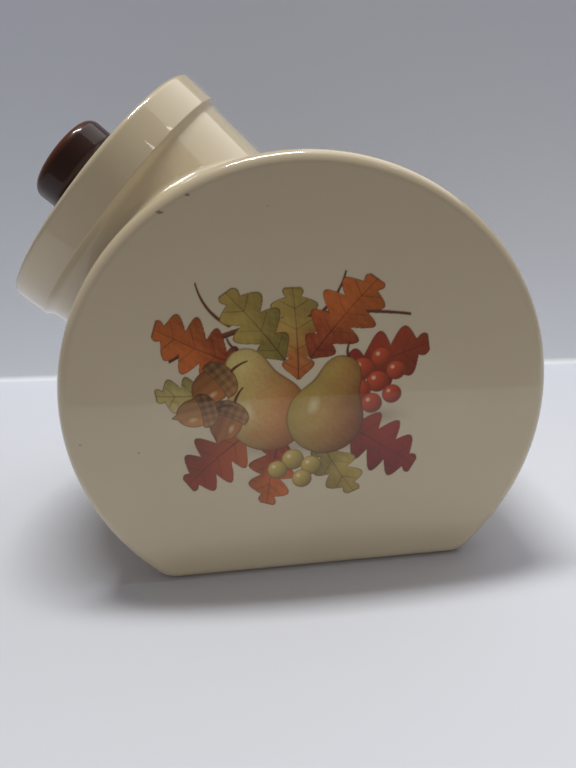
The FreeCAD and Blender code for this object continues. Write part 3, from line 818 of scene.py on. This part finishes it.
def acorn(ink, x, y, turn, size, nut):
    """Acorn: an oval nut with light streaks along it, a pointed tip and a scaled cap."""
    along, across = ink.local(x, y, turn)
    off = np.hypot(along / 1.30, across) - size * 0.46
    point = np.abs(across) - (size * 0.78 - along) * 0.5
    outside = np.minimum(off, np.maximum(point, np.maximum(-along, along - size * 0.76)))
    cover = soft(outside, 0.35)
    lit = np.clip(0.55 + 0.9 * across / size + 0.25 * np.cos(across / size * 22) * 0.4, 0.15, 1.3)
    ink.lay(cover, nut * (0.5 + 0.9 * lit[..., None]))
    ink.lay(cover * soft(-outside - 0.45, 0.5) * 0.6, DARK)
    glint = soft(np.hypot((along - size * 0.15) * 0.5, across - size * 0.2) - size * 0.05, size * 0.08)
    ink.lay(cover * glint * 0.7, ACORN_GLINT)
    back = along + size * 0.26
    shell = np.hypot(back / 0.72, across) - size * 0.56
    shell = np.maximum(shell, back - size * 0.10 - 0.12 * np.abs(across))
    cover = soft(shell, 0.35)
    weave = np.sin((back + across) * 14.4 / size) * np.sin((back - across) * 14.4 / size)
    lit = np.clip(0.55 + 0.8 * across / size, 0.2, 1.2) + 0.35 * weave
    ink.lay(cover, CAP * (0.35 + 0.9 * np.clip(lit, 0.05, 1.5)[..., None]))
    ink.lay(cover * soft(-shell - 0.45, 0.5) * 0.65, DARK)
    start, end = beyond(x, y, turn, -size * 0.62), beyond(x, y, turn, -size * 1.15, 1)
    twig(ink, start, end, 0.6, 0.75, ACORN_STALK)


def paint_spray(ink):
    """Autumn spray: two pears over oak leaves, acorns on the left and berries on the right."""
    for row in TWIGS:
        twig(ink, *row, BARK)
    for x, y, wide in SHADOWS:
        ink.lay(0.55 * np.exp(-((ink.across - x) / wide) ** 2 - ((ink.up - y) / 4.5) ** 2), SHADOW)
    for row in LEAVES:
        leaf(ink, *row)
    for row in RED_BERRIES:
        berry(ink, *row, BERRY, 0.7)
    for row in PEARS:
        pear(ink, *row)
    for row in ACORNS:
        acorn(ink, *row)
    for row in GOLD_BERRIES:
        berry(ink, *row, GOLD, 0.8)


# ---- operators

# Volumes in cubic metres that tell whether a surface is closed and right side out
JAR_VOLUME, SMALLEST_KNOB = (0.0009, 0.0014), 1e-5
# Cover of the print under which its grid has no faces
FAINTEST = 0.004
# Backdrop: half width, columns, rows of the floor, the cove and the wall, and the wall's first row
SHEET_HALF, SHEET_COLUMNS, FLOOR_ROWS, COVE_ROWS, WALL_ROWS, WALL_FROM = 1.8, 9, 8, 9, 6, 0.1
# Lights: name, place, target, width, height, setting that holds the power, colour, and whether the
# light's own shape shows
LIGHTS = [
    ("ceiling_light", (0.90, 0.60, 1.50), (0.2, 0.60, 0.0), 1.8, 1.5, "ceiling", (1.0, 1.0, 1.0), True),
    ("strip_light", (-0.12, 0.155, 1.80), (-0.12, 0.0, 0.0), 0.70, 0.13, "strip", (1.0, 1.0, 0.96), True),
    ("near_lamp", (1.00, -0.34, 1.60), (-0.05, -0.05, 0.21), 0.09, 0.09, "lamps", (1.0, 0.98, 0.94), True),
    ("far_lamp", (0.93, -1.13, 1.60), (-0.05, -0.05, 0.21), 0.09, 0.09, "lamps", (1.0, 0.98, 0.94), True),
    ("bounce_light", (0.04, -0.31, 0.03), (0.02, -0.085, 0.05), 0.45, 0.06, "bounce", (0.94, 1.0, 1.0),
     False),
]
CAMERA_PLACE = (-0.02407159, -0.34403776, 0.19800230)
CAMERA_SIGHT = (0.0540618, 0.94103158, -0.33397138)
CAMERA_RIGHT = (0.99555014, -0.07664847, -0.05481729)


class JAR_OT_body(bpy.types.Operator):
    """Glazed drum with its neck and collar, from rolling-ball edges between revolved surfaces"""
    bl_idname = "jar.body"
    bl_label = "Jar body"

    def execute(self, context):
        scene = context.scene
        points, groups = jar_surface(scene.jar_sizes)
        inside = closed_volume(points, groups)
        if not JAR_VOLUME[0] < inside < JAR_VOLUME[1]:
            raise RuntimeError("the jar's wall has volume %.6f" % inside)
        glazed = cream_material("cream_glaze", scene.jar_finish)
        add_piece("jar_glaze", points, groups, glazed, "jar", "cream_glaze", "jar_body")
        return {"FINISHED"}


class JAR_OT_lid(bpy.types.Operator):
    """Lid revolved about the neck's axis, with a locating ring below"""
    bl_idname = "jar.lid"
    bl_label = "Lid"

    def execute(self, context):
        jar, lid = context.scene.jar_sizes, context.scene.lid_sizes
        base, axis, across = neck_frame(jar)
        top, depth = lid.edge + lid.rise, -lid.ring_depth
        profile = eased_profile([
            (lid.hole, top - lid.wall, lid.hole_round), (lid.ring_inside, top - lid.wall, lid.under_round),
            (lid.ring_inside, depth, lid.ring_round), (lid.ring_radius, depth, lid.ring_round),
            (lid.ring_radius, 0, lid.root_round), (lid.radius, 0, lid.lower_round),
            (lid.radius, lid.edge, lid.upper_round), (lid.radius - lid.shoulder, top, lid.slope_round),
            (lid.hole, top, lid.hole_round)], closed=True)
        points, quads = revolve(profile, base + axis * jar.seat_at, axis, across, LID_SIDES, True)
        if closed_volume(points, [quads]) < 0:
            quads = quads[:, ::-1]
        glazed = bpy.data.materials["cream_glaze"]
        add_piece("lid_glaze", points, [quads], glazed, "lid_assembly", "cream_glaze", "lid")
        return {"FINISHED"}


class JAR_OT_knob(bpy.types.Operator):
    """Button knob revolved about the neck's axis, with the insert's socket"""
    bl_idname = "jar.knob"
    bl_label = "Knob"

    def execute(self, context):
        scene = context.scene
        jar, knob, lid = scene.jar_sizes, scene.knob_sizes, scene.lid_sizes
        base, axis, across = neck_frame(jar)
        landing = jar.seat_at + lid.edge + lid.rise
        top, depth = knob.stem + knob.button, knob.socket_depth
        profile = eased_profile([
            (0, depth, 0), (knob.socket, depth, knob.socket_round), (knob.socket, 0, knob.socket_round),
            (knob.stem_radius, 0, knob.foot_round), (knob.stem_radius, knob.stem, knob.cove),
            (knob.radius, knob.stem, knob.under_round), (knob.radius, top, knob.upper_round), (0, top, 0)],
            steps=KNOB_STEPS)
        points, quads = revolve(profile[1:-1], base + axis * landing, axis, across, KNOB_SIDES, False)
        count, first = len(points), np.arange(KNOB_SIDES)
        points = np.concatenate([points, base + axis * (landing + np.array([[depth], [top]]))])
        groups = [quads, outward(points, fan(count, first), towards(*-axis)),
                  outward(points, fan(count + 1, count - KNOB_SIDES + first), towards(*axis))]
        if closed_volume(points, groups) < SMALLEST_KNOB:
            groups[0] = quads[:, ::-1]
        glazed = brown_material(scene.jar_finish, jar, knob, landing)
        add_piece("knob_glaze", points, groups, glazed, "lid_assembly", "brown_glaze", "lid_knob")
        return {"FINISHED"}


class JAR_OT_fixings(bpy.types.Operator):
    """Metal and rubber finishes for the insert, screw and washer"""
    bl_idname = "jar.fixings"
    bl_label = "Fixings"

    def execute(self, context):
        finish = context.scene.jar_finish
        axis = neck_frame(context.scene.jar_sizes)[1]
        finishes = {
            "knob_insert": metal_material("brass", finish.brass, 0.28, axis),
            "knob_screw": metal_material("zinc_steel", finish.zinc, 0.34, axis),
            "knob_washer": rubber_material(finish.rubber),
        }
        for name, material in finishes.items():
            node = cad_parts[name]
            node.data.materials.clear()
            node.data.materials.append(material)
        return {"FINISHED"}


class JAR_OT_print(bpy.types.Operator):
    """Autumn spray printed on the front face, painted on a fine grid"""
    bl_idname = "jar.print"
    bl_label = "Print"

    def execute(self, context):
        jar, size = context.scene.jar_sizes, context.scene.print_sizes
        rows, columns = round(size.height / size.cell), round(size.width / size.cell)
        up = (np.arange(rows) - rows / 2) * size.cell
        across = (np.arange(columns) - columns / 2) * size.cell
        across, up = np.meshgrid(across, up)
        ink = Ink(across * 1000, up * 1000)
        paint_spray(ink)
        depth = np.full(across.shape, -jar.half_depth - size.stand_off)
        points = np.stack([across + size.centre_x, depth, up + size.centre_z], -1).reshape(-1, 3)
        cover = ink.cover.ravel()
        quads = grid(rows, columns, turn=False)
        quads = outward(points, quads[cover[quads].max(1) > FAINTEST], towards(0, -1, 0))
        printed = cream_material("printed_glaze", context.scene.jar_finish, printed=True)
        piece, used = add_piece("face_print", points, [quads], printed, "jar", "cream_glaze")
        tones = np.concatenate([ink.rgb.reshape(-1, 3), cover[:, None]], 1)[used]
        layer = piece.data.color_attributes.new("print", "FLOAT_COLOR", "POINT")
        layer.data.foreach_set("color", tones.astype(np.float32).ravel())
        return {"FINISHED"}


class JAR_OT_stage(bpy.types.Operator):
    """Floor and wall in one swept sheet, soft lights, world and camera"""
    bl_idname = "jar.stage"
    bl_label = "Stage"

    def execute(self, context):
        stage = context.scene.stage_settings
        turn = np.linspace(0, 0.5 * math.pi, COVE_ROWS)
        back = stage.wall_y - stage.cove
        y = np.concatenate([np.linspace(stage.front_y, back, FLOOR_ROWS)[:-1],
                            back + stage.cove * np.sin(turn), np.full(WALL_ROWS, stage.wall_y)])
        z = np.concatenate([np.zeros(FLOOR_ROWS - 1), stage.cove * (1 - np.cos(turn)),
                            np.linspace(WALL_FROM, stage.wall_height, WALL_ROWS)])
        x = np.linspace(-SHEET_HALF, SHEET_HALF, SHEET_COLUMNS)
        near = np.clip((back - y) / (back - stage.front_y), 0, 1)[:, None]
        y = y[:, None] + (near * stage.front_slant - (1 - near) * stage.wall_slant) * x
        points = np.stack(np.broadcast_arrays(x, y, z[:, None]), -1).reshape(-1, 3)
        quads = outward(points, grid(len(y), SHEET_COLUMNS, turn=False), towards(0, -1, 1))
        mesh, _ = make_mesh("backdrop", points, [quads], self.paper(stage))
        backdrop = add_object("backdrop", mesh)
        for light in LIGHTS:
            self.light(stage, *light)
        world = bpy.data.worlds.new("room")
        world.use_nodes = True
        background = world.node_tree.nodes["Background"]
        background.inputs["Color"].default_value = (*stage.room, 1)
        background.inputs["Strength"].default_value = stage.ambient
        context.scene.world = world
        context.scene.view_settings.view_transform = "Standard"
        self.camera(context, stage)
        return {"FINISHED"}

    @staticmethod
    def paper(stage):
        """Pale floor, and a wall whose colour darkens upwards as painted shade; clear when seen from
        behind.
        """
        shade = Shade("backdrop_paper")
        x, y, z = shade.axes()
        back = y + x * stage.wall_slant
        # Painted shade: the wall's colour darkens towards its top.
        wall = shade.mix(shade.step(z, -0.05, 0.45), stage.wall_low, stage.wall_high)
        upright = shade.step(back, stage.wall_y - stage.cove, stage.wall_y - 0.3 * stage.cove)
        tone = shade.mix(upright, stage.floor, wall)
        sheet = shade.node("ShaderNodeBsdfPrincipled", {}, {
            "Base Color": tone, "Roughness": 0.75, "Specular IOR Level": 0.2})
        behind = shade.node("ShaderNodeNewGeometry", out="Backfacing")
        clear = shade.node("ShaderNodeBsdfTransparent")
        sheer = shade.node("ShaderNodeMixShader", {}, {0: behind, 1: sheet, 2: clear})
        shade.node("ShaderNodeOutputMaterial", {}, {"Surface": sheer})
        return shade.material

    @staticmethod
    def light(stage, name, place, target, width, height, power, tone, seen):
        """Area light aimed at a point; where seen is off, only its light shows and not its shape."""
        data = bpy.data.lights.new(name, "AREA")
        data.shape, data.size, data.size_y = "RECTANGLE", width, height
        data.energy, data.color = getattr(stage, power), tone
        lamp = add_object(name, data)
        lamp.location = place
        lamp.rotation_euler = (Vector(target) - Vector(place)).to_track_quat("-Z", "Y").to_euler()
        lamp.visible_camera = lamp.visible_glossy = seen

    @staticmethod
    def camera(context, stage):
        """Camera from its place, its line of sight and its right-hand direction."""
        sight, right = Vector(CAMERA_SIGHT).normalized(), Vector(CAMERA_RIGHT).normalized()
        up = right.cross(sight)
        data = bpy.data.cameras.new("camera")
        data.lens, data.sensor_width, data.clip_start = stage.lens, 36.0, 0.01
        camera = add_object("camera", data)
        turned = Matrix((right, up, -sight)).transposed().to_4x4()
        camera.matrix_world = Matrix.Translation(CAMERA_PLACE) @ turned
        context.scene.camera = camera


class JAR_PT_panel(bpy.types.Panel):
    """Lists the jar's pieces in the sidebar"""
    bl_label = "Biscuit Jar"
    bl_idname = "JAR_PT_panel"
    bl_space_type = "VIEW_3D"
    bl_region_type = "UI"
    bl_category = "Jar"

    def draw(self, context):
        for operator in OPERATORS:
            self.layout.operator(operator.bl_idname)
        for group in GROUPS:
            sizes = getattr(context.scene, group)
            box = self.layout.box()
            for name in sizes.__annotations__:
                box.prop(sizes, name)


GROUPS = {
    "jar_sizes": JarSizes, "lid_sizes": LidSizes, "knob_sizes": KnobSizes, "print_sizes": PrintSizes,
    "jar_finish": Finish, "stage_settings": StageSettings,
}
OPERATORS = [JAR_OT_body, JAR_OT_lid, JAR_OT_knob, JAR_OT_fixings, JAR_OT_print, JAR_OT_stage]
CLASSES = [*GROUPS.values(), *OPERATORS, JAR_PT_panel]


def register():
    for group in GROUPS.values():
        for name, setting in group.__annotations__.items():
            setting.keywords["name"] = name.replace("_", " ").capitalize()
    for made in CLASSES:
        bpy.utils.register_class(made)
    for name, group in GROUPS.items():
        setattr(bpy.types.Scene, name, PointerProperty(type=group))


def unregister():
    for name in GROUPS:
        delattr(bpy.types.Scene, name)
    for made in reversed(CLASSES):
        bpy.utils.unregister_class(made)


def main():
    register()
    bpy.ops.jar.body()
    bpy.ops.jar.lid()
    bpy.ops.jar.knob()
    bpy.ops.jar.fixings()
    bpy.ops.jar.print()
    bpy.ops.jar.stage()


if __name__ == "__main__":
    main()
